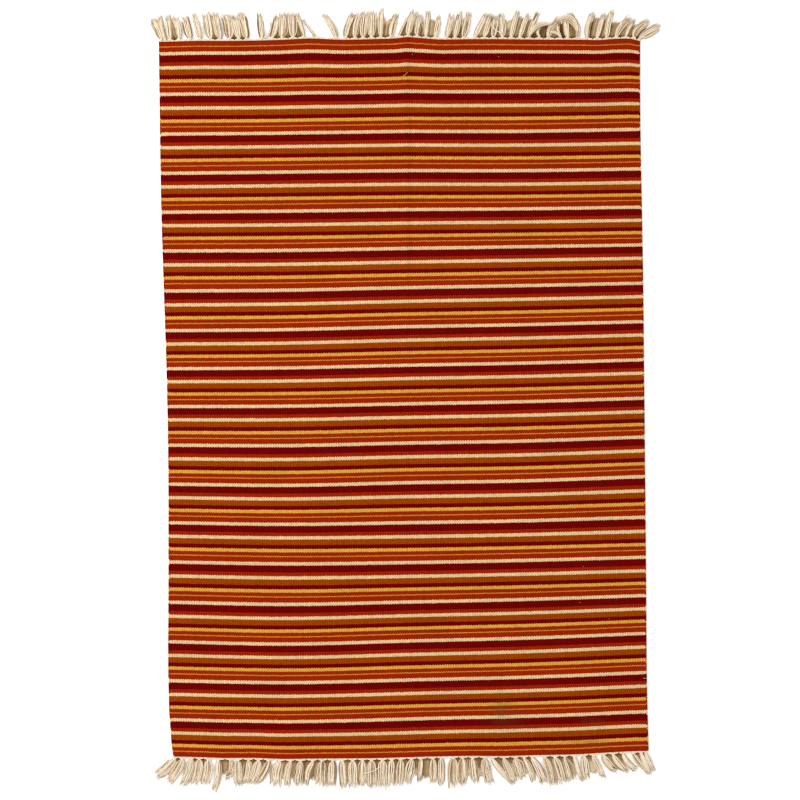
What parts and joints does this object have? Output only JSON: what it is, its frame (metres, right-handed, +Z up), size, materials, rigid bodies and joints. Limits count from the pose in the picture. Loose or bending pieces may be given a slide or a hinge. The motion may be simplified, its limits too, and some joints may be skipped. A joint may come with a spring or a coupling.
{
  "type": "flat-woven striped wool rug with knotted fringe",
  "caption": "Rectangular flat-woven wool rug with narrow cross stripes and a knotted cotton warp fringe at both ends, lying flat.",
  "frame": {"origin": "on the floor under the middle of the woven cloth", "axes": "+X along the wefts and stripes, +Y along the warps toward the far fringe, +Z up from the floor"},
  "size_m": [1.2758, 1.9467, 0.006],
  "materials": {
    "wool_cloth": "matt weft-faced wool in rust, maroon, brown, gold and cream cross stripes",
    "cotton_fringe": "matt undyed cotton cord, knotted and frayed at the tips"
  },
  "bodies": {
    "root": {"woven_cloth": "wool_cloth", "far_fringe": "cotton_fringe", "near_fringe": "cotton_fringe"}
  },
  "joints": []
}
